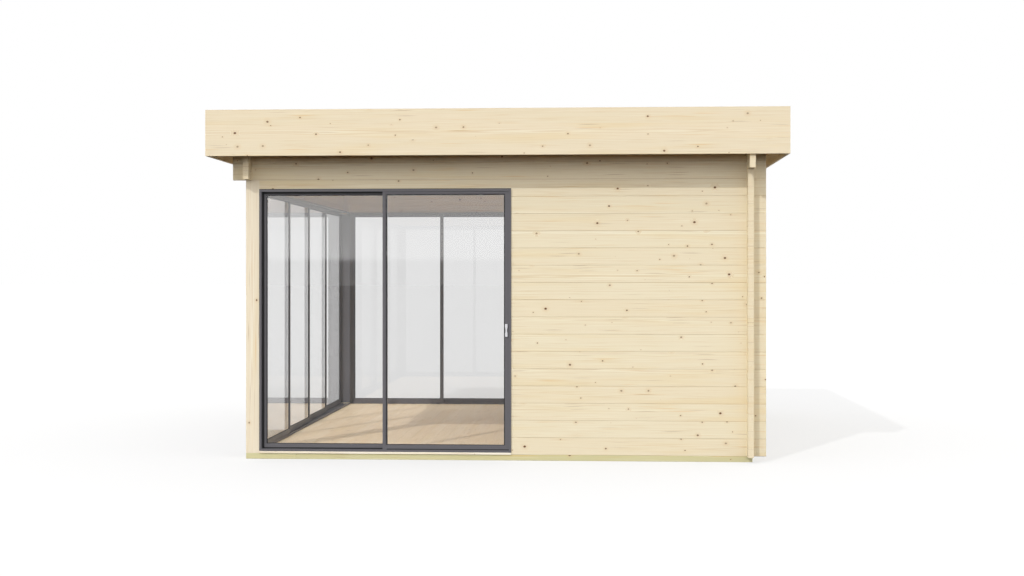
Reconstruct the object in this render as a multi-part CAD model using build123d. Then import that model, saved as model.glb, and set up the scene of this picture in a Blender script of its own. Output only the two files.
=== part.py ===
from build123d import *

import os

# Garden office pod of notched logs, with sliding glass units and a flat roof behind a deep fascia.
# Millimetres. Origin on the ground at the centre of the footprint: +X right, +Y to the rear, +Z up.

# Log walls
wall_width = 3980  # over the outer faces of the side walls
wall_depth = 4350  # over the outer faces of the front and rear walls
log_thick = 44
course = 135  # height of one log
courses = 18
log_bevel = 2.5
log_end = 105  # how far a crossing log passes the outer face
post_size = 107  # square corner posts at the left

# Foundation and floor
beam_high = 45
beam_wide = 70
sill_high = 17
joist_wide = 45
joist_count = 8
floor_thick = 18

# Glazed units
unit_high = 2068
door_width = 1996
frame_face = 18  # what a head, jamb or threshold shows
frame_lip = 3
frame_proud = 8  # frame in front of the logs
leaf_thick = 24
run_gap = 5  # between sliding leaves, and between a leaf and its frame
engage = 8  # how far a leaf enters the frame
track_gap = 0.3
track_wide = 6
lock_stile = 47  # at the jambs
meeting_stile = 34  # where two leaves overlap
top_rail = 38
bottom_rail = 50
glass_thick = 10
glass_grip = 6  # how far the glass enters a stile or rail
side_leaves = 4
door_leaves = 2

# Pull handle
handle_wide = 19
handle_high = 100
handle_deep = 16
handle_centre = 1020
handle_round = 6
handle_waist = 4

# Roof
overhang = 258  # from the wall's outer face to the fascia's
fascia_high = 358
fascia_thick = 20
fascia_drop = 99  # below the roof boards
board_thick = 19
purlin_wide = 58
purlin_high = 145
purlin_count = 4
pocket_deep = 30
batten_wide = 45
batten_count = 8
batten_front = 75
batten_rear = 15
deck_thick = 15
membrane_thick = 4

# Places worked out from the sizes above
half_width = wall_width / 2
half_depth = wall_depth / 2
wall_base = beam_high
wall_top = wall_base + courses * course
unit_low = wall_base + sill_high
unit_top = unit_low + unit_high
top_course = wall_top - 2 * course  # the two top logs run over the doors
door_left = -half_width + post_size
door_right = door_left + door_width
side_length = wall_depth - 2 * post_size
eave_x = half_width + overhang - fascia_thick
eave_y = half_depth + overhang - fascia_thick
lock_stile_middle = frame_face + (lock_stile - engage) / 2  # of what shows beside the jamb

# Side logs lie half a course off the front and rear ones. Where they cross, each keeps half its height,
# about the joints of the others.
front_joints = [wall_base + n * course for n in range(courses + 1)]
side_joints = [wall_base + (n + 0.5) * course for n in range(courses)]
right_eave_joint = side_joints[-2]  # the logs above run out to the fascia
left_eave_joint = side_joints[-1]


def block(x, y, z):
    """A box between two corners, each axis given as (low, high)."""
    size = [high - low for low, high in (x, y, z)]
    centre = [(high + low) / 2 for low, high in (x, y, z)]
    return Pos(*centre) * Box(*size)


def prism(points, direction, length):
    """A closed outline of 3-D points, pushed along a direction."""
    return extrude(make_face(Polyline(*points, close=True)), amount=length, dir=direction)


def log_outline(low, high, joints):
    """Section of stacked logs: pairs of distance from the outer face and height."""
    heights = [low] + [z for z in joints if low < z < high] + [high]
    outer = []
    for bottom, top in zip(heights, heights[1:]):
        outer += [(log_bevel, bottom), (0, bottom + log_bevel), (0, top - log_bevel)]
    outer.append((log_bevel, high))
    inner = [(log_thick - across, height) for across, height in reversed(outer)]
    return outer + inner


def front_logs(x, low, high):
    """Logs of the front wall between two heights."""
    outline = log_outline(low, high, front_joints)
    points = [(x[0], -half_depth + across, height) for across, height in outline]
    return prism(points, (1, 0, 0), x[1] - x[0])


def side_logs(side, reach, low, high):
    """Logs of a side wall, side -1 left or 1 right, that reach as far to the front as to the rear."""
    outline = log_outline(low, high, side_joints)
    points = [(side * (half_width - across), -reach, height) for across, height in outline]
    return prism(points, (0, 1, 0), 2 * reach)


def notches(side, end, joints):
    """What one wall leaves free for the other where they cross: half a course about each of its joints."""
    x = sorted((side * half_width, side * (half_width - log_thick)))
    y = sorted((end * half_depth, end * (half_depth - log_thick)))
    return [block(x, y, (z - course / 4, z + course / 4)) for z in joints]


# Foundation and floor

def foundation():
    front = block(
        (-half_width, half_width), (-half_depth, -half_depth + beam_wide), (0, beam_high)
    )
    right = block(
        (half_width - beam_wide, half_width), (-half_depth + beam_wide, half_depth - beam_wide), (0, beam_high)
    )
    return {
        "front_rear_beams": Compound([front, mirror(front, about=Plane.XZ)]),
        "side_beams": Compound([mirror(right, about=Plane.YZ), right]),
    }


def floor_joists():
    reach = half_width - beam_wide
    free = wall_depth - 2 * beam_wide
    pitch = free / joist_count
    low = -half_depth + beam_wide
    joists = []
    for n in range(joist_count):
        middle = low + (n + 0.5) * pitch
        joists.append(
            block((-reach, reach), (middle - joist_wide / 2, middle + joist_wide / 2), (0, beam_high))
        )
    return Compound(joists)


def unit_depth(leaves):
    return 2 * frame_lip + leaves * leaf_thick + (leaves + 1) * run_gap


def sill_boards():
    door = block(
        (door_left, door_right),
        (-half_depth - frame_proud, -half_depth - frame_proud + unit_depth(door_leaves)),
        (wall_base, unit_low),
    )
    side = block(
        (-half_width - frame_proud, -half_width - frame_proud + unit_depth(side_leaves)),
        (-side_length / 2, side_length / 2),
        (wall_base, unit_low),
    )
    return [door, mirror(door, about=Plane.XZ), side]


def corner_post(end):
    x = (-half_width, -half_width + post_size)
    y = sorted((end * half_depth, end * (half_depth - post_size)))
    return block(x, y, (wall_base, top_course))


def floor_boards():
    z = (wall_base, wall_base + floor_thick)
    reach_x = half_width - log_thick
    reach_y = half_depth - log_thick
    floor = block((-reach_x, reach_x), (-reach_y, reach_y), z)
    for piece in sill_boards() + [corner_post(-1), corner_post(1)]:
        box = piece.bounding_box()
        floor -= block((box.min.X, box.max.X), (box.min.Y, box.max.Y), z)
    return floor


# Log walls

def front_wall_beside_door():
    wall = front_logs((door_right, half_width + log_end), wall_base, top_course)
    return wall - notches(1, -1, front_joints)


def front_wall_over_door():
    wall = front_logs((-half_width - log_end, half_width + log_end), top_course, wall_top)
    wall += front_logs((door_left, door_right), unit_top, top_course)
    return wall - notches(1, -1, front_joints) - notches(-1, -1, front_joints)


def side_cuts(side):
    """Notches at both ends of a side wall, and the pockets of the roof beams."""
    pockets = [block(*purlin_box(n)) for n in range(purlin_count)]
    return notches(side, -1, side_joints) + notches(side, 1, side_joints) + pockets


def right_wall():
    return side_logs(1, half_depth + log_end, wall_base, right_eave_joint) - side_cuts(1)


def left_wall_over_door():
    wall = side_logs(-1, half_depth + log_end, top_course, left_eave_joint)
    wall += side_logs(-1, side_length / 2, unit_top, top_course)
    return wall - side_cuts(-1)


def side_top_logs():
    left = side_logs(-1, eave_y, left_eave_joint, wall_top) - side_cuts(-1)
    right = side_logs(1, eave_y, right_eave_joint, wall_top) - side_cuts(1)
    return Compound([left, right])


# Sliding glass units, first in a frame of their own: x along the unit, y inwards from its outer face

def leaf_width(length, leaves):
    return (length - 2 * frame_face + 2 * engage + (leaves - 1) * meeting_stile) / leaves


def frame_rails(length, leaves):
    """Head and threshold, each a channel, and the tracks that the leaves run on."""
    depth = unit_depth(leaves)
    groove = engage + run_gap
    inside = (frame_lip, depth - frame_lip)
    head = block((0, length), (0, depth), (unit_top - frame_face, unit_top))
    head -= block((0, length), inside, (unit_top - frame_face, unit_top - frame_face + groove))
    threshold = block((0, length), (0, depth), (unit_low, unit_low + frame_face))
    floor = unit_low + frame_face - groove
    threshold -= block((0, length), inside, (floor, unit_low + frame_face))
    for track in range(leaves):
        middle = leaf_front(track) + leaf_thick / 2
        threshold += block(
            (0, length), (middle - track_wide / 2, middle + track_wide / 2), (floor, floor + run_gap - track_gap)
        )
    return Compound([head, threshold])


def frame_jambs(length, leaves):
    depth = unit_depth(leaves)
    groove = engage + run_gap
    z = (unit_low + frame_face, unit_top - frame_face)
    jamb = block((0, frame_face), (0, depth), z)
    jamb -= block((frame_face - groove, frame_face), (frame_lip, depth - frame_lip), z)
    other = Pos(length, 0, 0) * mirror(jamb, about=Plane.YZ)
    return Compound([jamb, other])


def leaf_front(track):
    """Distance of a track's leaf from the unit's outer face."""
    return frame_lip + run_gap + track * (leaf_thick + run_gap)


def leaf(length, leaves, place):
    """A leaf's frame and its glass; place counts from the unit's start."""
    width = leaf_width(length, leaves)
    left = frame_face - engage + place * (width - meeting_stile)
    front = leaf_front(leaves - 1 - place)
    pane_left = left + (lock_stile if place == 0 else meeting_stile)
    pane_right = left + width - (lock_stile if place == leaves - 1 else meeting_stile)
    low = unit_low + frame_face - engage
    high = unit_top - frame_face + engage
    middle = front + leaf_thick / 2
    ring = block((left, left + width), (front, front + leaf_thick), (low, high))
    ring -= block(
        (pane_left, pane_right), (front, front + leaf_thick), (low + bottom_rail, high - top_rail)
    )
    glass = block(
        (pane_left - glass_grip, pane_right + glass_grip),
        (middle - glass_thick / 2, middle + glass_thick / 2),
        (low + bottom_rail - glass_grip, high - top_rail + glass_grip),
    )
    return ring - glass, glass


def handle(x, y, direction):
    """A waisted pull that stands on a leaf's face, direction -1 outwards or 1 inwards."""
    shape = RectangleRounded(handle_wide, handle_high, handle_round)
    half_chord = handle_high / 4
    radius = (half_chord**2 + handle_waist**2) / (2 * handle_waist)
    for side in (-1, 1):
        offset = side * (handle_wide / 2 - handle_waist + radius)
        shape -= Pos(offset, 0) * Circle(radius)
    plate = Plane.XZ * shape
    pull = extrude(plate, amount=handle_deep, dir=(0, direction, 0))
    return Pos(x, y, handle_centre) * pull


def to_front(piece):
    return Pos(door_left, -half_depth - frame_proud, 0) * piece


def to_rear(piece):
    return mirror(to_front(piece), about=Plane.XZ)


def to_left(piece):
    turned = Rot(0, 0, 90) * mirror(piece, about=Plane.XZ)
    return Pos(-half_width - frame_proud, -side_length / 2, 0) * turned


def door_unit(end, to_place):
    """Two-leaf sliding door: a fixed leaf on the inner track, a sliding leaf on the outer one."""
    fixed, fixed_glass = leaf(door_width, door_leaves, 0)
    sliding, sliding_glass = leaf(door_width, door_leaves, 1)
    grip = door_width - lock_stile_middle
    pull = handle(grip, leaf_front(0), -1)
    pieces = {
        f"{end}_door_rails": frame_rails(door_width, door_leaves),
        f"{end}_door_jambs": frame_jambs(door_width, door_leaves),
        f"{end}_fixed_leaf": fixed,
        f"{end}_fixed_glass": fixed_glass,
        f"{end}_sliding_leaf": sliding,
        f"{end}_sliding_glass": sliding_glass,
        f"{end}_handle": pull,
    }
    return {name: to_place(piece) for name, piece in pieces.items()}


def side_unit():
    """Four-leaf telescopic unit: three leaves slide to the rear beside the fixed last one."""
    pieces = {
        "left_unit_rails": frame_rails(side_length, side_leaves),
        "left_unit_jambs": frame_jambs(side_length, side_leaves),
    }
    for place in range(side_leaves):
        ring, glass = leaf(side_length, side_leaves, place)
        pieces[f"left_leaf_{place + 1}"] = ring
        pieces[f"left_glass_{place + 1}"] = glass
    inner_face = leaf_front(side_leaves - 1) + leaf_thick
    pieces["left_handle"] = handle(lock_stile_middle, inner_face, 1)
    return {name: to_left(piece) for name, piece in pieces.items()}


# Roof

def purlin_box(n):
    """Corners of a roof beam, whose ends sit in pockets of the side walls."""
    room = wall_depth - 2 * log_thick
    middle = -room / 2 + (n + 1) * room / (purlin_count + 1)
    reach = half_width - log_thick + pocket_deep
    return (
        (-reach, reach),
        (middle - purlin_wide / 2, middle + purlin_wide / 2),
        (wall_top - purlin_high, wall_top),
    )


def sloping_layer(x, front_low, front_high, rear_low, rear_high):
    """A layer that falls from front to rear between two heights at each end."""
    points = [
        (x[0], -eave_y, front_low),
        (x[0], eave_y, rear_low),
        (x[0], eave_y, rear_high),
        (x[0], -eave_y, front_high),
    ]
    return prism(points, (1, 0, 0), x[1] - x[0])


def roof():
    boards_top = wall_top + board_thick
    front = boards_top + batten_front
    rear = boards_top + batten_rear
    pitch = (2 * eave_x - batten_wide) / (batten_count - 1)
    battens = []
    for n in range(batten_count):
        low = -eave_x + n * pitch
        battens.append(sloping_layer((low, low + batten_wide), boards_top, front, boards_top, rear))
    whole = (-eave_x, eave_x)
    deck_front = front + deck_thick
    deck_rear = rear + deck_thick
    return {
        "roof_beams": Compound([block(*purlin_box(n)) for n in range(purlin_count)]),
        "roof_boards": block(whole, (-eave_y, eave_y), (wall_top, boards_top)),
        "roof_battens": Compound(battens),
        "roof_deck": sloping_layer(whole, front, deck_front, rear, deck_rear),
        "roof_membrane": sloping_layer(
            whole, deck_front, deck_front + membrane_thick, deck_rear, deck_rear + membrane_thick
        ),
    }


def fascias():
    z = (wall_top - fascia_drop, wall_top - fascia_drop + fascia_high)
    outer_x = eave_x + fascia_thick
    front = block((-outer_x, outer_x), (-eave_y - fascia_thick, -eave_y), z)
    right = block((eave_x, outer_x), (-eave_y, eave_y), z)
    return {
        "front_fascia": front,
        "rear_fascia": mirror(front, about=Plane.XZ),
        "left_fascia": mirror(right, about=Plane.YZ),
        "right_fascia": right,
    }


def build():
    beside = front_wall_beside_door()
    over = front_wall_over_door()
    parts = {
        "floor_joists": floor_joists(),
        "sill_boards": Compound(sill_boards()),
        "floor_boards": floor_boards(),
        "front_left_post": corner_post(-1),
        "rear_left_post": corner_post(1),
        "front_wall_beside_door": beside,
        "front_wall_over_door": over,
        "rear_wall_beside_door": mirror(beside, about=Plane.XZ),
        "rear_wall_over_door": mirror(over, about=Plane.XZ),
        "right_wall": right_wall(),
        "left_wall_over_door": left_wall_over_door(),
        "side_top_logs": side_top_logs(),
    }
    parts |= foundation()
    parts |= door_unit("front", to_front)
    parts |= door_unit("rear", to_rear)
    parts |= side_unit()
    parts |= roof()
    parts |= fascias()
    return parts


os.makedirs("parts", exist_ok=True)
for name, shape in build().items():
    export_step(shape, f"parts/{name}.step")
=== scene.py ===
import math

import bmesh
import bpy
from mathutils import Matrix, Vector

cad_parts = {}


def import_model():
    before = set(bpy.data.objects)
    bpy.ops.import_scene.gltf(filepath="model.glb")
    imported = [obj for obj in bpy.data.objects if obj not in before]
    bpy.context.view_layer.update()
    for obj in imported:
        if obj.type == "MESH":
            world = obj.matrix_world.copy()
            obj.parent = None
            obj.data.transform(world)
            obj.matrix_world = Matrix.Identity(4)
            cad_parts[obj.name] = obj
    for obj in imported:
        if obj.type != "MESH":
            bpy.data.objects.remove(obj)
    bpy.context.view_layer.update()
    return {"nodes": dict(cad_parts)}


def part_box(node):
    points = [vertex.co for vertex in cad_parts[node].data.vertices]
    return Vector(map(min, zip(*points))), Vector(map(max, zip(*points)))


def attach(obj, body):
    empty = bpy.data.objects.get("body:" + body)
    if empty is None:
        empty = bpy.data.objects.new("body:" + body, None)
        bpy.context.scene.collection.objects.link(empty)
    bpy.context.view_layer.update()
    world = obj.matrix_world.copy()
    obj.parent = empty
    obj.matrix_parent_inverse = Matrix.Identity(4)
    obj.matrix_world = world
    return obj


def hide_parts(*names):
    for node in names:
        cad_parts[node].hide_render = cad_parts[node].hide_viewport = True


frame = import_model()

# Garden office pod: finishes, boards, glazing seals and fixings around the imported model, in metres.

X, Y, Z = 0, 1, 2

# Camera, level and turned a little to the left
camera_place = (0.769, -13.638, 1.450)
camera_turn = 3.243  # degrees to the left
focal_pixels = 1465
image_wide = 1024
horizon_pixel = 275.5
middle_pixel = 288
sensor = 36

# Light
sun_strength = 1.2
sun_left = 27  # degrees to the left of straight ahead
sun_up = 40
sun_soft = 1
fill_low = 1.92  # near the horizon
fill_high = 1.02  # overhead
fill_change = (0.35, 0.65)  # slopes between which one passes into the other
floor_bounce = (0.020, 0.014, 0.009, 1)  # what the floor gives back to the timber over it
floor_white = 0.30
front_sky = 4.0  # as the glass mirrors it
rear_sky = 0.70  # as it shows through the glass
rear_low = 0.84  # the same, just over the stage floor
rear_floor = 0.915
sky_start = (0.008, 0.0135)  # slopes between which rear_low passes into the sky
floor_level = 1.04  # of the stage floor where nothing shades it
stage_size = 400

# Building. Log sizes, board counts and butt joints are set here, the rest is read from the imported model
course = 0.135
log_thick = 0.044
front_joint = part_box("front_wall_beside_door")[0].z
side_joint = front_joint - course / 2
front_face = -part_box("front_wall_beside_door")[0].y
front_plane = front_face - log_thick / 2
side_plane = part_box("right_wall")[1].x - log_thick / 2

floor_rows, roof_rows, fascia_rows = 39, 38, 3
floor_start, floor_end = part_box("left_unit_rails")[1].x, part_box("floor_boards")[1].x
floor_pitch = (floor_end - floor_start) / floor_rows
roof_start, roof_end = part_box("roof_boards")[0].x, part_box("roof_boards")[1].x
roof_pitch = (roof_end - roof_start) / roof_rows
fascia_low, fascia_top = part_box("front_fascia")[0].z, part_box("front_fascia")[1].z
fascia_pitch = (fascia_top - fascia_low) / fascia_rows
beam_joint = -1.590  # where two lengths meet, along x
sill_joint = -0.759

DOORS = ("front", "rear")
SIDE_LEAVES = (1, 2, 3, 4)


def srgb(red, green, blue):
    """Linear colour of an 8-bit screen colour."""
    def linear(value):
        value /= 255
        return value / 12.92 if value <= 0.04045 else ((value + 0.055) / 1.055) ** 2.4
    return (linear(red), linear(green), linear(blue), 1)


class Tree:
    """A node tree, with a short method for each kind of node that the finishes share."""

    def __init__(self, owner):
        owner.use_nodes = True
        self.tree = owner.node_tree
        self.tree.nodes.clear()

    def feed(self, socket, value):
        if isinstance(value, bpy.types.NodeSocket):
            self.tree.links.new(value, socket)
        else:
            socket.default_value = value

    def add(self, kind, inputs=None, **settings):
        node = self.tree.nodes.new("ShaderNode" + kind)
        for name, value in settings.items():
            setattr(node, name, value)
        for name, value in (inputs or {}).items():
            self.feed(node.inputs[name], value)
        return node

    def math(self, operation, *values):
        node = self.add("Math", operation=operation)
        for socket, value in zip(node.inputs, values):
            self.feed(socket, value)
        return node.outputs[0]

    def ramp(self, value, start, end, low=0.0, high=1.0):
        """Smooth step from low at start to high at end."""
        inputs = {"Value": value, "From Min": start, "From Max": end, "To Min": low, "To Max": high}
        return self.add("MapRange", inputs, interpolation_type="SMOOTHSTEP").outputs["Result"]

    def vector(self, x, y, z=0.0):
        return self.add("CombineXYZ", {"X": x, "Y": y, "Z": z}).outputs["Vector"]

    def noise(self, vector, scale=1.0, detail=2.0, roughness=0.5):
        inputs = {"Vector": vector, "Scale": scale, "Detail": detail, "Roughness": roughness}
        return self.add("TexNoise", inputs).outputs[0]

    def mix(self, factor, first, second, blend="MIX"):
        node = self.add("Mix", data_type="RGBA", blend_type=blend)
        self.feed(node.inputs[0], factor)
        self.feed(node.inputs[6], first)
        self.feed(node.inputs[7], second)
        return node.outputs[2]

    def bump(self, height, distance, strength=1.0):
        inputs = {"Height": height, "Distance": distance, "Strength": strength}
        return self.add("Bump", inputs).outputs["Normal"]

    def draws(self, node):
        """Three random numbers from a texture's colour."""
        return self.add("SeparateColor", {"Color": node.outputs["Color"]}).outputs

    def surface(self, inputs):
        shader = self.add("BsdfPrincipled", inputs).outputs[0]
        self.add("OutputMaterial", {"Surface": shader})


def material(name):
    made = bpy.data.materials.new(name)
    return made, Tree(made)


# Timber. Each log or board is cut round a pith of its own, so its rings show as lines along its faces
# and as arcs on its ends. Lengths are in metres, and scales of noise in repeats a metre.

ring_width = 0.0029
ring_wander = 0.022
pith_range = (0.16, 0.14)  # up and in, over which the pith's place is drawn
knot_cell = 0.155  # holds one knot at most
knot_ragged = 0.004
knot_stretch = 0.8  # below 1 draws the knots out along the grain
knot_push = 0.007  # how far a knot bends the rings round it
knot_least = 0.0003
mark_long, mark_high = 0.5, 0.02  # cell of a short brown mark
mark_share = 0.2
fine_relief = 0.0004

WOOD = {
    "resin": (228, 200, 132), "dark_fibre": (214, 186, 138), "pale_fibre": (250, 243, 222),
    "late_wood": (196, 158, 106), "streak": (222, 182, 112), "mark": (150, 106, 60),
    "swirl": (214, 178, 124), "knot": (86, 50, 28), "knot_core": (140, 92, 54),
    "joint": (150, 108, 66), "end_grain": (222, 190, 142),
}


class Board:
    """Where a point lies in its own log or board: along it, up from its middle and across it."""

    def __init__(self, t, grain, stack, pitch, start, plane, seed):
        self.t = t
        place = t.add("TexCoord").outputs["Object"]
        axes = t.add("SeparateXYZ", {"Vector": place}).outputs
        along, self.up, through = axes[grain], axes[stack], axes[3 - grain - stack]
        self.across = t.math("SUBTRACT", t.math("ABSOLUTE", through), plane)
        self.row = t.math("FLOOR", t.math("DIVIDE", t.math("SUBTRACT", self.up, start), pitch))
        row_middle = t.math("MULTIPLY_ADD", self.row, pitch, start + pitch / 2)
        self.height = t.math("SUBTRACT", self.up, row_middle)
        side = t.math("SIGN", through)
        self.own = t.math("MULTIPLY_ADD", side, 31.7, t.math("ADD", self.row, seed))
        chance = t.add("TexWhiteNoise", {"W": self.own}, noise_dimensions="1D")
        self.draws = t.draws(chance)
        self.shifted = t.math("ADD", along, t.math("MULTIPLY", chance.outputs["Value"], 40))

    def scaled(self, along, up, across=None):
        """Noise coordinates, drawn out along the grain."""
        t = self.t
        parts = [t.math("MULTIPLY", self.shifted, along), t.math("MULTIPLY", self.height, up)]
        if across:
            parts.append(t.math("MULTIPLY", self.across, across))
        return t.vector(*parts)


def knots(t, board, share, largest):
    """Shares of knot, of its core and of the grain that swirls round it, and a draw for each knot."""
    ragged = t.noise(board.scaled(30, 60), detail=1)
    wobble = t.math("MULTIPLY", t.math("SUBTRACT", ragged, 0.5), knot_ragged)
    along = t.math("MULTIPLY_ADD", board.shifted, knot_stretch, wobble)
    spot = t.vector(along, t.math("ADD", board.height, wobble))
    cells = t.add("TexVoronoi", {"Vector": spot, "Scale": 1 / knot_cell}, voronoi_dimensions="2D")
    luck = t.draws(cells)
    away = t.math("MULTIPLY", cells.outputs["Distance"], knot_cell)
    left_over = t.math("MAXIMUM", t.math("SUBTRACT", share, luck[0]), 0)
    size = t.math("MULTIPLY", t.math("POWER", t.math("DIVIDE", left_over, share), 0.8), largest)
    ratio = t.math("DIVIDE", away, t.math("ADD", size, knot_least))
    return t.ramp(ratio, 1.15, 0.75), t.ramp(ratio, 0.8, 0.2), t.ramp(ratio, 4.5, 0.6), luck[1]


def rings(t, board, swirl):
    """Share of dark late wood, and the broad bands of early and late years."""
    flow = t.noise(board.scaled(0.45, 5, 5), detail=3)
    wander = t.math("MULTIPLY", t.math("SUBTRACT", flow, 0.5), ring_wander)
    pith_up = t.math("MULTIPLY", t.math("SUBTRACT", board.draws[1], 0.5), pith_range[0])
    pith_in = t.math("MULTIPLY", t.math("SUBTRACT", board.draws[2], 0.5), pith_range[1])
    rise = t.math("POWER", t.math("SUBTRACT", board.height, pith_up), 2)
    run = t.math("POWER", t.math("SUBTRACT", board.across, pith_in), 2)
    radius = t.math("SQRT", t.math("ADD", rise, run))
    radius = t.math("ADD", radius, t.math("ADD", wander, t.math("MULTIPLY", swirl, knot_push)))
    wave = t.math("SINE", t.math("MULTIPLY", radius, 2 * math.pi / ring_width))
    late = t.math("POWER", t.math("MULTIPLY_ADD", wave, 0.5, 0.5), 3)
    years = t.math("MULTIPLY_ADD", radius, 85, board.own)
    return late, t.add("TexNoise", {"W": years, "Detail": 2}, noise_dimensions="1D").outputs[0]


def short_marks(t, board):
    """Share of the rare short brown marks that lie along the grain."""
    wave = t.noise(t.vector(t.math("MULTIPLY", board.shifted, 3), board.row), detail=1)
    bend = t.math("MULTIPLY", wave, mark_high)
    up = t.math("MULTIPLY", t.math("ADD", board.height, bend), 1 / mark_high)
    along = t.math("MULTIPLY", board.shifted, 1 / mark_long)
    cells = t.add("TexVoronoi", {"Vector": t.vector(along, up), "Scale": 1}, voronoi_dimensions="2D")
    luck = t.draws(cells)
    centre = t.add("SeparateXYZ", {"Vector": cells.outputs["Position"]}).outputs
    near = t.ramp(t.math("ABSOLUTE", t.math("SUBTRACT", along, centre[0])), 0.22, 0.02)
    thin = t.ramp(t.math("ABSOLUTE", t.math("SUBTRACT", up, centre[1])), 0.12, 0.02)
    rare = t.math("MULTIPLY", t.math("LESS_THAN", luck[0], mark_share), luck[1])
    return t.math("MULTIPLY", t.math("MULTIPLY", near, thin), rare)


def timber(
    name, grain, stack, pitch, start, plane,
    pale=(240, 232, 208), warm=(229, 215, 181), tint=(234, 219, 189),
    knot_share=0.7, knot_size=0.008, joint=0.0, seed=0, rough=0.6,
):
    """Planed wood with its grain along one axis. Boards stack along another, each one pitch high."""
    made, t = material(name)
    board = Board(t, grain, stack, pitch, start, plane, seed)
    knot, core, swirl, knot_draw = knots(t, board, knot_share, knot_size)
    late, broad = rings(t, board, swirl)
    fibre = t.noise(board.scaled(9, 700, 700), detail=2)
    patch_place = [t.math("MULTIPLY", board.shifted, 1.2)]
    patch_place += [t.math("MULTIPLY", axis, 9) for axis in (board.up, board.across)]
    patch = t.noise(t.vector(*patch_place), detail=3)
    fine = t.noise(board.scaled(2.6, 105), detail=2)
    tone = t.noise(board.scaled(0.8, 12), detail=2)
    streak = t.ramp(t.noise(board.scaled(1.6, 55), detail=2), 0.62, 0.76)

    colour = t.mix(t.ramp(broad, 0.3, 0.75), srgb(*pale), srgb(*warm))
    colour = t.mix(t.math("MULTIPLY", board.draws[0], 0.5), colour, srgb(*tint))
    colour = t.mix(t.ramp(patch, 0.45, 0.8, 0, 0.35), colour, srgb(*tint))
    layers = [
        (t.ramp(tone, 0.5, 0.72, 0, 0.22), "resin"),
        (t.ramp(fine, 0.54, 0.72, 0, 0.26), "dark_fibre"),
        (t.ramp(fine, 0.46, 0.28, 0, 0.2), "pale_fibre"),
        (t.math("MULTIPLY", late, 0.2), "late_wood"),
        (t.math("MULTIPLY", streak, 0.42), "streak"),
        (t.math("MULTIPLY", short_marks(t, board), 0.7), "mark"),
        (t.math("MULTIPLY", swirl, 0.25), "swirl"),
        (t.math("MULTIPLY", knot, t.math("MULTIPLY_ADD", knot_draw, 0.6, 0.35)), "knot"),
        (t.math("MULTIPLY", core, 0.5), "knot_core"),
    ]
    if joint:
        to_joint = t.math("SUBTRACT", pitch / 2, t.math("ABSOLUTE", board.height))
        layers.append((t.ramp(to_joint, joint, joint * 0.4, 0, 0.3), "joint"))
    normal = t.add("SeparateXYZ", {"Vector": t.add("NewGeometry").outputs["Normal"]}).outputs[grain]
    end = t.ramp(t.math("ABSOLUTE", normal), 0.7, 0.95)
    layers.append((t.math("MULTIPLY", end, 0.12), "end_grain"))
    for share, tone_name in layers:
        colour = t.mix(share, colour, srgb(*WOOD[tone_name]))

    rise = t.math("MULTIPLY_ADD", late, 0.5, t.math("MULTIPLY", fibre, 0.6))
    rise = t.math("SUBTRACT", rise, t.math("MULTIPLY", knot, 0.6))
    gloss = t.math("MULTIPLY_ADD", patch, 0.2, rough - 0.1)
    gloss = t.math("SUBTRACT", gloss, t.math("MULTIPLY", knot, 0.15))
    t.surface({
        "Base Color": colour, "Roughness": gloss, "Specular IOR Level": 0.15,
        "Normal": t.bump(rise, fine_relief, 0.6),
    })
    return made


# Metal, glass, sheet and board

def powder_coat(name, colour, light=(110, 108, 113)):
    made, t = material(name)
    place = t.add("TexCoord").outputs["Object"]
    grain = t.noise(place, 2600, 1)
    cloud = t.noise(place, 3.5, 3)
    colour = t.mix(t.ramp(grain, 0.45, 0.8, 0, 0.35), srgb(*colour), srgb(*light))
    colour = t.mix(t.ramp(cloud, 0.4, 0.8, 0, 0.12), colour, srgb(*light))
    t.surface({
        "Base Color": colour, "Roughness": t.ramp(cloud, 0.3, 0.8, 0.42, 0.55),
        "Normal": t.bump(grain, 0.00012, 0.4),
    })
    return made


def rubber(name, colour=(24, 24, 26)):
    made, t = material(name)
    place = t.add("TexCoord").outputs["Object"]
    dust = t.noise(place, 60, 3)
    grain = t.noise(place, 1500, 1)
    t.surface({
        "Base Color": t.mix(t.ramp(dust, 0.45, 0.8, 0, 0.5), srgb(*colour), srgb(52, 51, 52)),
        "Roughness": t.ramp(dust, 0.3, 0.8, 0.6, 0.8),
        "Normal": t.bump(grain, 0.0001, 0.4),
    })
    return made


def brushed_steel(name, stroke):
    made, t = material(name)
    place = t.add("TexCoord").outputs["Object"]
    axes = t.add("SeparateXYZ", {"Vector": place}).outputs
    scales = [2500.0, 2500.0, 2500.0]
    scales[stroke] = 40.0
    lines = t.noise(t.vector(*[t.math("MULTIPLY", axis, s) for axis, s in zip(axes, scales)]), detail=2)
    t.surface({
        "Base Color": t.mix(t.ramp(lines, 0.3, 0.7), srgb(206, 207, 210), srgb(226, 226, 229)),
        "Metallic": 0.85, "Roughness": t.ramp(lines, 0.3, 0.7, 0.32, 0.45),
        "Normal": t.bump(lines, 0.0001, 0.3),
    })
    return made


def window_glass(name):
    made, t = material(name)
    place = t.add("TexCoord").outputs["Object"]
    film = t.noise(place, 2.3, 2)
    t.surface({
        "Base Color": t.mix(film, srgb(248, 248, 248), srgb(251, 251, 251)),
        "Roughness": 0.0, "IOR": 1.6, "Transmission Weight": 1.0,
    })
    return made


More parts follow.
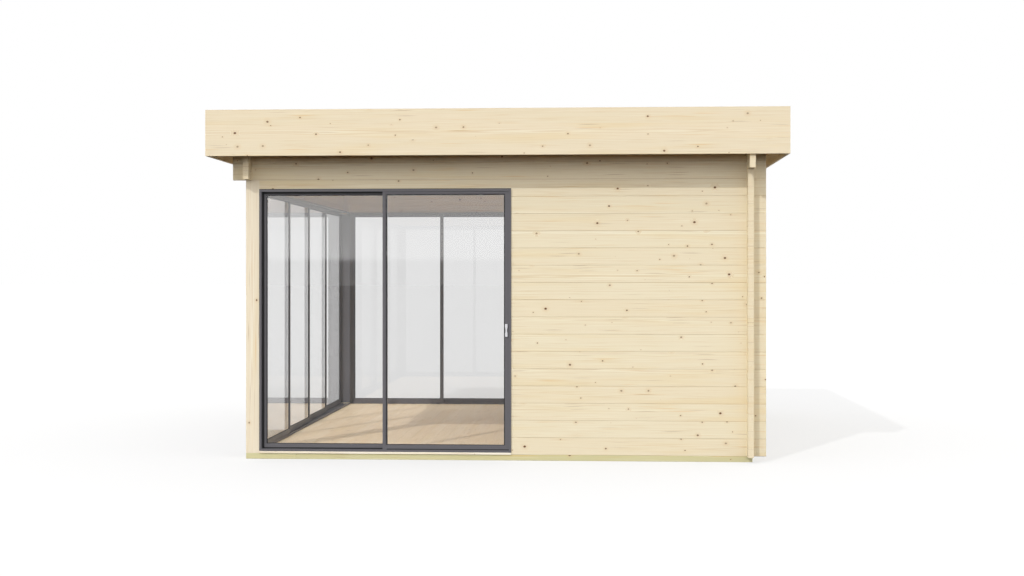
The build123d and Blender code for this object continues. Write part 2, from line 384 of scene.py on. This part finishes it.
def roofing_sheet(name):
    made, t = material(name)
    place = t.add("TexCoord").outputs["Object"]
    weave = t.noise(place, 420, 2)
    stain = t.noise(place, 1.8, 4)
    colour = t.mix(t.ramp(stain, 0.35, 0.75), srgb(40, 41, 44), srgb(66, 66, 68))
    t.surface({
        "Base Color": t.mix(t.ramp(weave, 0.5, 0.8, 0, 0.4), colour, srgb(86, 86, 88)),
        "Roughness": t.ramp(stain, 0.3, 0.8, 0.75, 0.9),
        "Normal": t.bump(weave, 0.0004, 0.5),
    })
    return made


def strand_board(name):
    made, t = material(name)
    place = t.add("TexCoord").outputs["Object"]
    axes = t.add("SeparateXYZ", {"Vector": place}).outputs
    flat = t.vector(t.math("MULTIPLY", axes[X], 14), t.math("MULTIPLY", axes[Y], 50), axes[Z])
    luck = t.draws(t.add("TexVoronoi", {"Vector": flat, "Scale": 1}))
    t.surface({
        "Base Color": t.mix(luck[0], srgb(206, 168, 112), srgb(160, 118, 70)),
        "Roughness": t.ramp(luck[1], 0, 1, 0.6, 0.8), "Normal": t.bump(luck[2], 0.0006, 0.4),
    })
    return made


# Palettes, and how boards stack: in rows, or with a pitch so high that a whole piece is one board
SMOOTH = {"pale": (241, 233, 214), "warm": (233, 219, 190), "tint": (236, 222, 198)}
FASCIA = {"pale": (235, 225, 201), "warm": (226, 209, 176)}
SILL = {"pale": (250, 243, 228), "warm": (245, 234, 210), "tint": (246, 234, 210)}
# Roof boards in a darker, browner palette than the spruce elsewhere: painted shade for the eaves, which also
# browns the light they bounce on to the wall's top
ROOF_PAINTED_SHADE = {"pale": (192, 148, 102), "warm": (174, 128, 84), "tint": (180, 132, 88)}
FLOOR = {"pale": (252, 234, 203), "warm": (243, 218, 180), "tint": (243, 216, 176)}
TREATED = {"pale": (222, 215, 178), "warm": (208, 198, 148), "tint": (200, 198, 150)}
TREATED_SHORT = {"pale": (218, 214, 174), "warm": (202, 197, 146), "tint": (196, 198, 148)}
LOGS = {"pitch": course, "joint": 0.002}
POST = {"pitch": 1.0, "start": -2.4}
FASCIA_BOARDS = {"pitch": fascia_pitch, "start": fascia_low}
ONE_SILL = {"pitch": 1.0, "start": -0.4}
ONE_BEAM = {"pitch": 0.5, "start": -0.2}

finish = {
    "logs_x": timber("spruce_logs_x", X, Z, start=front_joint, plane=front_plane, **LOGS),
    "logs_y": timber("spruce_logs_y", Y, Z, start=side_joint, plane=side_plane, seed=200, **LOGS),
    "post": timber("spruce_post", Z, X, plane=2.12, seed=400, knot_share=0.2, **POST, **SMOOTH),
    "fascia_x": timber(
        "spruce_fascia_x", X, Z, plane=2.423, tint=(236, 221, 193), seed=600, **FASCIA_BOARDS, **FASCIA
    ),
    "fascia_y": timber(
        "spruce_fascia_y", Y, Z, plane=2.238, tint=(231, 212, 182), seed=800, **FASCIA_BOARDS, **FASCIA
    ),
    "sill_x": timber("spruce_sill_x", X, Z, plane=2.15, seed=1100, **ONE_SILL, **SILL),
    "sill_y": timber("spruce_sill_y", Y, Z, plane=1.96, seed=1150, **ONE_SILL, **SILL),
    "beam_x": timber("spruce_beam_x", X, Y, pitch=0.83, start=-2.5, plane=2.4, seed=1000),
    "board_y": timber(
        "spruce_board_y", Y, X, pitch=roof_pitch, start=roof_start, plane=2.484, seed=1200, **ROOF_PAINTED_SHADE
    ),
    "floor_y": timber(
        "floor_boards_y", Y, X, pitch=floor_pitch, start=floor_start, plane=0.054, seed=1400,
        knot_share=0.2, rough=0.45, **FLOOR
    ),
    "treated_x": timber("treated_timber_x", X, Z, plane=2.14, seed=1600, **ONE_BEAM, **TREATED),
    "treated_short": timber(
        "treated_timber_short", X, Z, plane=2.14, seed=1700, **ONE_BEAM, **TREATED_SHORT
    ),
    "treated_y": timber("treated_timber_y", Y, Z, plane=1.955, seed=1800, **ONE_BEAM, **TREATED),
    "frame": powder_coat("anthracite_frame", (91, 89, 93)),
    "glass": window_glass("window_glass"),
    "steel": brushed_steel("handle_steel", Z),
    "rubber": rubber("glazing_rubber"),
    "sheet": roofing_sheet("roofing_sheet"),
    "strand": strand_board("strand_board"),
}


def dress(node, key):
    """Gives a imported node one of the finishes."""
    slots = frame["nodes"][node].data.materials
    slots.clear()
    slots.append(finish[key])


def dress_all():
    """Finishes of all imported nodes. The panes neither cast shade nor hold back soft light."""
    looks = {
        "front_left_post": "post", "rear_left_post": "post", "front_wall_beside_door": "logs_x",
        "front_wall_over_door": "logs_x", "rear_wall_beside_door": "logs_x", "rear_wall_over_door": "logs_x",
        "right_wall": "logs_y", "left_wall_over_door": "logs_y", "side_top_logs": "logs_y",
        "sill_boards": "sill_x", "front_fascia": "fascia_x", "rear_fascia": "fascia_x",
        "left_fascia": "fascia_y", "right_fascia": "fascia_y", "roof_beams": "beam_x",
        "roof_boards": "board_y", "roof_battens": "board_y", "roof_deck": "strand",
        "roof_membrane": "sheet", "floor_boards": "floor_y", "floor_joists": "treated_x",
        "front_rear_beams": "treated_x", "side_beams": "treated_y",
        "left_unit_rails": "frame", "left_unit_jambs": "frame", "left_handle": "steel",
    }
    for end in DOORS:
        for piece in ("door_rails", "door_jambs", "fixed_leaf", "sliding_leaf"):
            looks[f"{end}_{piece}"] = "frame"
        looks[f"{end}_fixed_glass"] = "glass"
        looks[f"{end}_sliding_glass"] = "glass"
        looks[f"{end}_handle"] = "steel"
    for n in SIDE_LEAVES:
        looks[f"left_leaf_{n}"] = "frame"
        looks[f"left_glass_{n}"] = "glass"
    for node, key in looks.items():
        dress(node, key)
        if key == "glass":
            pane = frame["nodes"][node]
            pane.visible_shadow = False
            pane.visible_diffuse = False


dress_all()


# Pieces made here

def mesh_piece(name, mesh, keys, body):
    """Turns an edit mesh into a piece that rides on a body."""
    data = bpy.data.meshes.new(name)
    mesh.to_mesh(data)
    mesh.free()
    piece = bpy.data.objects.new(name, data)
    bpy.context.scene.collection.objects.link(piece)
    for key in keys:
        data.materials.append(finish[key])
    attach(piece, body)
    return piece


def add_box(mesh, low, high, index=0):
    """A box between two corners, with the finish of that number."""
    verts = bmesh.ops.create_cube(mesh, size=1)["verts"]
    for vert in verts:
        vert.co = [a + (c + 0.5) * (b - a) for a, b, c in zip(low, high, vert.co)]
    for face in {face for vert in verts for face in vert.link_faces}:
        face.material_index = index


def boxes(name, corners, edge, keys, body, segments=1):
    """Boxes with eased edges, joined in one piece. Each is (low, high) or (low, high, finish number)."""
    mesh = bmesh.new()
    for box in corners:
        add_box(mesh, *box)
    bmesh.ops.bevel(mesh, geom=mesh.edges[:], offset=edge, segments=segments, affect="EDGES", profile=0.5)
    return mesh_piece(name, mesh, keys, body)


def rows(low, high, count):
    """Evenly spaced (low, high) pairs."""
    step = (high - low) / count
    return [(low + n * step, low + (n + 1) * step) for n in range(count)]


def laid_beams():
    """Front and rear foundation beams, each of a short and a long timber that meet end to end."""
    low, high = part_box("front_rear_beams")
    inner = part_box("side_beams")[1].y
    gap = 0.0006
    corners = []
    for y0, y1 in ((low.y, -inner), (inner, high.y)):
        corners.append(((low.x, y0, low.z), (beam_joint - gap, y1, high.z), 1))
        corners.append(((beam_joint + gap, y0, low.z), (high.x, y1, high.z), 0))
    keys = ["treated_x", "treated_short"]
    piece = boxes("laid_front_rear_beams", corners, 0.002, keys, "building", 2)
    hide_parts("front_rear_beams")


def laid_floor():
    """Floor boards, which run on to the front door's frame beside the logs."""
    low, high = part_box("floor_boards")
    door_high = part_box("front_door_rails")[1]
    door_right, door_inner = door_high.x, -door_high.y
    wall_inner = high.y
    gap = 0.0002
    corners = []
    for x0, x1 in rows(floor_start, floor_end, floor_rows):
        reach = door_inner if x0 < door_right else wall_inner
        corners.append(((x0 + gap, -reach, low.z), (x1 - gap, reach, high.z)))
    piece = boxes("laid_floor_boards", corners, 0.0006, ["floor_y"], "building")
    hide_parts("floor_boards")


def laid_roof_boards():
    """Roof boards laid side by side, whose underside shows past the walls and in the room."""
    low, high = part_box("roof_boards")
    gap = 0.0004
    strips = rows(roof_start, roof_end, roof_rows)
    corners = [((x0 + gap, low.y, low.z), (x1 - gap, high.y, high.z)) for x0, x1 in strips]
    piece = boxes("laid_roof_boards", corners, 0.003, ["board_y"], "building")
    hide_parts("roof_boards")


def sills():
    """Sill boards with eased edges under the three glazed units, jointed once under each door."""
    low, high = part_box("sill_boards")
    door_low, door_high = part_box("front_door_rails")
    side_low, side_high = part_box("left_unit_rails")
    gap = 0.0002
    corners = [((side_low.x, side_low.y, low.z), (side_high.x, side_high.y, high.z), 1)]
    for y0, y1 in ((door_low.y, door_high.y), (-door_high.y, -door_low.y)):
        corners.append(((door_low.x, y0, low.z), (sill_joint - gap, y1, high.z), 0))
        corners.append(((sill_joint + gap, y0, low.z), (door_high.x, y1, high.z), 0))
    piece = boxes("eased_sill_boards", corners, 0.0015, ["sill_x", "sill_y"], "building", 2)
    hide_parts("sill_boards")


def span(run, along, deep, across, heights):
    """Corners of a box given along a leaf, through it and in height; run is the axis along the leaf."""
    low, high = [0, 0, heights[0]], [0, 0, heights[1]]
    low[run], high[run] = along
    low[deep], high[deep] = across
    return tuple(low), tuple(high)


def leaf_frame(name, leaf, glass, body, run):
    """Stiles and rails with eased edges, the beads set back from them and the rubber that grips the pane."""
    deep = 1 - run
    low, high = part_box(leaf)
    pane_low, pane_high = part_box(glass)
    grip = 0.006
    gasket, gasket_low, gasket_back = 0.007, 0.004, 0.0045
    bead, bead_back = 0.011, 0.003
    inner = (pane_low[run] + grip, pane_high[run] - grip)
    heights = (pane_low.z + grip, pane_high.z - grip)
    through = (low[deep], high[deep])
    stiles = [(low[run], inner[0] - bead), (inner[1] + bead, high[run])]
    corners = [span(run, along, deep, through, (low.z, high.z)) for along in stiles]
    between = (inner[0] - bead, inner[1] + bead)
    corners += [
        span(run, between, deep, through, (low.z, heights[0] - bead)),
        span(run, between, deep, through, (heights[1] + bead, high.z)),
    ]
    bead_through = (through[0] + bead_back, through[1] - bead_back)
    corners += ring(run, deep, inner, heights, (gasket, bead), (gasket_low, bead), bead_through)
    piece = boxes(name, corners, 0.0006, ["frame"], body, 2)
    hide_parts(leaf)
    rubbers = []
    for across in ((through[0] + gasket_back, pane_low[deep]), (pane_high[deep], through[1] - gasket_back)):
        rubbers += ring(run, deep, inner, heights, (0, gasket), (0, gasket_low), across)
    boxes(f"{name}_gaskets", rubbers, 0.0005, ["rubber"], body)


def ring(run, deep, inner, heights, band, band_low, across):
    """Four strips round an opening. A band gives how far outside its edge a strip starts and ends."""
    near, far = band
    near_low, far_low = band_low
    tall = (heights[0] - far_low, heights[1] + far)
    wide = (inner[0] - near, inner[1] + near)
    return [
        span(run, (inner[0] - far, inner[0] - near), deep, across, tall),
        span(run, (inner[1] + near, inner[1] + far), deep, across, tall),
        span(run, wide, deep, across, (heights[0] - far_low, heights[0] - near_low)),
        span(run, wide, deep, across, (heights[1] + near, heights[1] + far)),
    ]


def pile_seals_and_painted_shade():
    """Black pile strips on the fixed door leaves, which close the gap to the sliding leaf's track. They are
    also painted shade: black, and as wide as the shadow the jamb's lip casts into the recess.
    """
    # Painted shade: wide and low_wide follow the dark strip of the lip's shadow on the recessed leaf
    thick, wide, low_wide = 0.0025, 0.015, 0.009
    in_jamb = 0.008
    for end, side in (("front", -1), ("rear", 1)):
        low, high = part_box(f"{end}_fixed_leaf")
        frame_low, frame_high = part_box(f"{end}_door_jambs")
        edge = low.x + in_jamb
        face = low.y if side < 0 else high.y
        across = sorted((face, face + side * thick))
        strips = [
            ((edge, across[0], frame_low.z), (edge + wide, across[1], frame_high.z)),
            ((edge + wide, across[0], frame_high.z - wide), (high.x, across[1], frame_high.z)),
            ((edge + wide, across[0], frame_low.z), (high.x, across[1], frame_low.z + low_wide)),
        ]
        boxes(f"{end}_pile_seals_and_painted_shade", strips, 0.0004, ["rubber"], "building")


def frame_seals_and_painted_shade():
    """The mastic on each door's head, where the logs meet it, and the brush behind its threshold's lip. Both
    are black strips that are also painted shade: the shadow gap over the head, and the shade down in the
    threshold's gap.
    """
    # Painted shade: the mastic stands for the dark shadow line between head and logs, the brush for the
    # shade behind the threshold's lip
    mastic, face, lip, channel_floor = 0.004, 0.018, 0.003, 0.005
    brush_thick, brush_rise = 0.0035, 0.007
    for end, side in (("front", -1), ("rear", 1)):
        low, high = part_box(f"{end}_door_rails")
        jambs_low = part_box(f"{end}_door_jambs")[0]
        brush_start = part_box(f"{end}_fixed_leaf")[1].x
        brush_outer = max(-low.y, high.y) - lip
        on_head = sorted((side * front_face, side * (front_face + mastic)))
        in_channel = sorted((side * (brush_outer - brush_thick), side * brush_outer))
        strips = [
            ((low.x, on_head[0], high.z), (high.x, on_head[1], high.z + mastic)),
            (
                (brush_start, in_channel[0], low.z + channel_floor),
                (high.x - face, in_channel[1], jambs_low.z + brush_rise),
            ),
        ]
        boxes(f"{end}_frame_seals_and_painted_shade", strips, 0.0003, ["rubber"], "building")


def leaf_frames():
    """Frames and gaskets of the four door leaves and of the side wall's leaves, on their own bodies."""
    for end in DOORS:
        leaf_frame(f"{end}_fixed_frame", f"{end}_fixed_leaf", f"{end}_fixed_glass", "building", X)
        leaf_frame(f"{end}_sliding_frame", f"{end}_sliding_leaf", f"{end}_sliding_glass", f"{end}_door", X)
    for n in SIDE_LEAVES:
        body = "building" if n == SIDE_LEAVES[-1] else f"left_door_{n}"
        leaf_frame(f"left_frame_{n}", f"left_leaf_{n}", f"left_glass_{n}", body, Y)


def roof_edge():
    """The roofing sheet turned up inside the fascia, and the bar that clamps it there."""
    low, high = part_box("roof_membrane")
    upstand, sheet = 0.085, 0.003
    bar, strip = 0.004, 0.03
    top = high.z + upstand
    sides = [
        ((low.x, low.y, low.z), (high.x, low.y + sheet, top)),
        ((low.x, high.y - sheet, low.z), (high.x, high.y, top)),
        ((low.x, low.y, low.z), (low.x + sheet, high.y, top)),
        ((high.x - sheet, low.y, low.z), (high.x, high.y, top)),
    ]
    boxes("roof_sheet_upstand", sides, 0.001, ["sheet"], "building")
    bars = [
        ((low.x + sheet, low.y + sheet, top - strip), (high.x - sheet, low.y + sheet + bar, top)),
        ((low.x + sheet, high.y - sheet - bar, top - strip), (high.x - sheet, high.y - sheet, top)),
        ((low.x + sheet, low.y + sheet, top - strip), (low.x + sheet + bar, high.y - sheet, top)),
        ((high.x - sheet - bar, low.y + sheet, top - strip), (high.x - sheet, high.y - sheet, top)),
    ]
    boxes("roof_clamping_bars", bars, 0.0008, ["steel"], "building")


laid_beams()
laid_floor()
laid_roof_boards()
sills()
leaf_frames()
pile_seals_and_painted_shade()
frame_seals_and_painted_shade()
roof_edge()


# Stage

def seen_by_eye(t):
    """1 for the rays that should find the white background: straight, reflected or through glass."""
    path = t.add("LightPath").outputs
    bent = t.math("MAXIMUM", path["Is Glossy Ray"], path["Is Transmission Ray"])
    return t.math("MAXIMUM", path["Is Camera Ray"], bent)


def stage_floor():
    """White ground that keeps the building's shadow, and gives back little light of its own."""
    bpy.ops.mesh.primitive_plane_add(size=stage_size)
    plane = bpy.context.object
    plane.name = "stage_floor"
    made, t = material("stage_floor")
    low_share = (sum(fill_change) / 2) ** 2
    fill = fill_low * low_share + fill_high * (1 - low_share)
    lit = fill + sun_strength * math.sin(math.radians(sun_up)) / math.pi
    depth = t.add("SeparateXYZ", {"Vector": t.add("TexCoord").outputs["Object"]}).outputs[Y]
    in_glass = t.math("MULTIPLY", t.math("GREATER_THAN", depth, 0), rear_floor - floor_white * lit)
    singular = t.add("LightPath").outputs["Is Singular Ray"]
    levels = {"Factor": singular, "A": floor_level - floor_white * lit, "B": in_glass}
    strength = t.add("Mix", levels).outputs["Result"]
    white = t.add("BsdfDiffuse", {"Color": (floor_white, floor_white, floor_white, 1)}).outputs[0]
    glow = t.add("Emission", {"Color": (1, 1, 1, 1), "Strength": strength}).outputs[0]
    both = t.add("AddShader")
    t.feed(both.inputs[0], white)
    t.feed(both.inputs[1], glow)
    dim = t.add("BsdfDiffuse", {"Color": floor_bounce}).outputs[0]
    pick = t.add("MixShader", {"Fac": seen_by_eye(t)})
    t.feed(pick.inputs[1], dim)
    t.feed(pick.inputs[2], both.outputs[0])
    t.add("OutputMaterial", {"Surface": pick.outputs[0]})
    plane.data.materials.append(made)


def world():
    """White for the eye, grey to match the view through the panes, and soft light for the building."""
    made = bpy.data.worlds.new("studio")
    bpy.context.scene.world = made
    t = Tree(made)
    towards = t.add("SeparateXYZ", {"Vector": t.add("TexCoord").outputs["Generated"]}).outputs
    path = t.add("LightPath").outputs
    mirrored = t.math("MULTIPLY", t.math("LESS_THAN", towards[Y], 0), path["Is Reflection Ray"])
    sky = t.math("MULTIPLY_ADD", mirrored, front_sky - rear_sky, rear_sky)
    in_glass = t.ramp(towards[Z], *sky_start, rear_low, sky)
    level = t.add("Mix", {"Factor": path["Is Singular Ray"], "A": 1.0, "B": in_glass}).outputs["Result"]
    soft = t.ramp(towards[Z], *fill_change, fill_low, fill_high)
    fill = t.add("Background", {"Color": (1, 1, 1, 1), "Strength": soft}).outputs[0]
    white = t.add("Background", {"Color": (1, 1, 1, 1), "Strength": level}).outputs[0]
    pick = t.add("MixShader", {"Fac": seen_by_eye(t)})
    t.feed(pick.inputs[1], fill)
    t.feed(pick.inputs[2], white)
    t.add("OutputWorld", {"Surface": pick.outputs[0]})


def sun():
    lamp = bpy.data.lights.new("sun", "SUN")
    lamp.energy = sun_strength
    lamp.angle = math.radians(sun_soft)
    holder = bpy.data.objects.new("sun", lamp)
    left, up = math.radians(sun_left), math.radians(sun_up)
    towards = Vector((-math.sin(left) * math.cos(up), -math.cos(left) * math.cos(up), math.sin(up)))
    holder.rotation_euler = towards.to_track_quat("Z", "Y").to_euler()
    bpy.context.scene.collection.objects.link(holder)


def camera():
    lens = bpy.data.cameras.new("camera")
    lens.sensor_width = sensor
    lens.lens = sensor * focal_pixels / image_wide
    lens.shift_y = (horizon_pixel - middle_pixel) / image_wide
    holder = bpy.data.objects.new("camera", lens)
    holder.location = camera_place
    holder.rotation_euler = (math.radians(90), 0, math.radians(camera_turn))
    bpy.context.scene.collection.objects.link(holder)
    bpy.context.scene.camera = holder


stage_floor()
world()
sun()
camera()
bpy.context.scene.view_settings.view_transform = "Standard"
